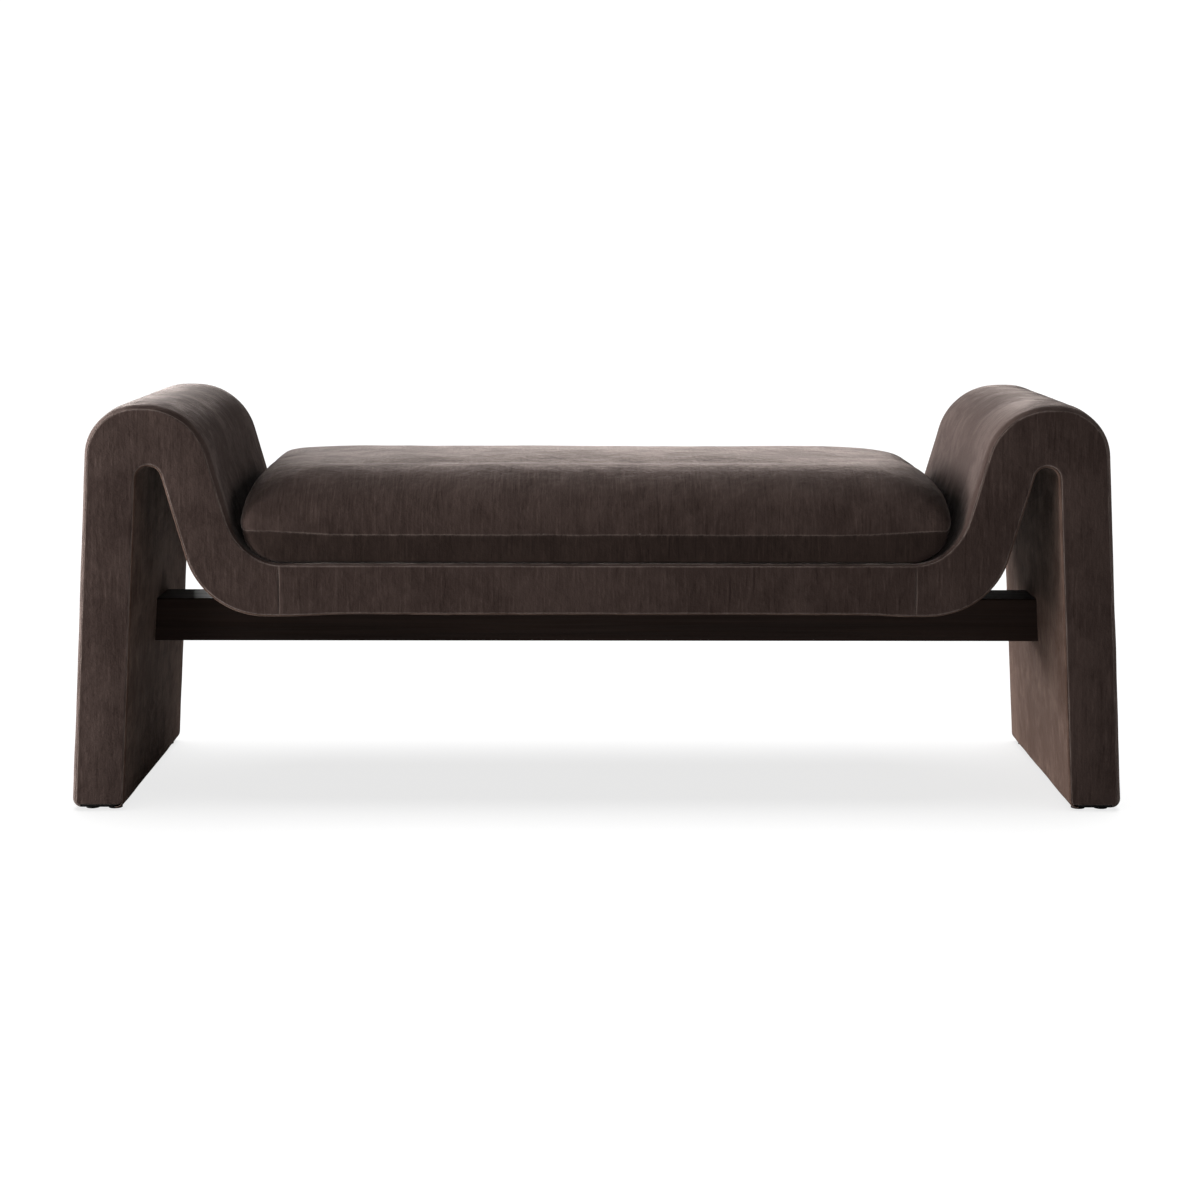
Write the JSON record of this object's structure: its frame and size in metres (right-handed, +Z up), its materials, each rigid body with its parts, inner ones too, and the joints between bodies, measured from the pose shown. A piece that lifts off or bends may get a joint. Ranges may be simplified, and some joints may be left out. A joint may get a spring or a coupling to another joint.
{
  "type": "accent bench",
  "caption": "Long low bench made of one padded slab that forms splayed legs, round shoulders and a sunken seat, with a loose crowned cushion and a wooden beam between the legs.",
  "frame": {"origin": "on the floor under the middle of the bench", "axes": "+X along the seat to the right as seen from the front, +Y to the rear, +Z up; the front looks along -Y"},
  "size_m": [1.52, 0.457, 0.588],
  "materials": {
    "velvet": "matte",
    "under_velvet": "matte",
    "bottom_cloth": "matte",
    "cushion_velvet": "matte",
    "plywood": "matte",
    "softwood": "matte",
    "foam": "matte",
    "cushion_foam": "matte",
    "beam_wood": "satin",
    "felt": "matte",
    "hook_and_loop": "matte",
    "zip_cloth": "matte",
    "zip_coil": "satin",
    "glide_plastic": "satin",
    "steel": "satin",
    "zip_metal": "satin"
  },
  "bodies": {
    "bench": {"outer_cover": "velvet", "front_left_panel": "velvet", "front_middle_panel": "velvet", "front_right_panel": "velvet", "rear_left_panel": "velvet", "rear_middle_panel": "velvet", "rear_right_panel": "velvet", "under_cover": "under_velvet", "left_foot_cover": "bottom_cloth", "right_foot_cover": "bottom_cloth", "front_rib": "plywood", "rear_rib": "plywood", "upper_skin": "plywood", "under_skin": "plywood", "left_leg_rail": "softwood", "right_leg_rail": "softwood", "left_slope_rail": "softwood", "right_slope_rail": "softwood", "seat_rails": "softwood", "left_beam_block": "softwood", "right_beam_block": "softwood", "left_foot_board": "softwood", "right_foot_board": "softwood", "left_leg_foam": "foam", "left_shoulder_foam": "foam", "seat_foam": "foam", "right_shoulder_foam": "foam", "right_leg_foam": "foam", "left_inner_leg_foam": "foam", "left_arch_foam": "foam", "underside_foam": "foam", "right_arch_foam": "foam", "right_inner_leg_foam": "foam", "front_foam": "foam", "rear_foam": "foam", "front_edge_roll": "foam", "rear_edge_roll": "foam", "stretcher_beam": "beam_wood", "bearing_strip": "felt", "hook_strips": "hook_and_loop", "glides": "glide_plastic", "beam_bolts": "steel", "bolt_washers": "steel", "threaded_inserts": "steel"},
    "cushion": {"cushion_foam": "cushion_foam", "cushion_top_cover": "cushion_velvet", "cushion_base_cover": "cushion_velvet", "zip_tape": "zip_cloth", "zip_chain": "zip_coil", "loop_strips": "hook_and_loop"},
    "zip_slider": {"zip_slider": "zip_metal"},
    "zip_pull": {"zip_pull": "zip_metal"}
  },
  "joints": [
    {"name": "cushion_lift", "type": "slide", "parent": "bench", "child": "cushion", "axis": [0, 0, 1], "range_m": [0, 0.25]},
    {"name": "zip_travel", "type": "slide", "parent": "cushion", "child": "zip_slider", "axis": [1, 0, 0], "range_m": [0, 0.83]},
    {"name": "pull_flip", "type": "hinge", "parent": "zip_slider", "child": "zip_pull", "pos_m": [-0.42313, 0.22636, 0.402], "axis": [0, 0, 1], "range_deg": [0, 175]}
  ]
}
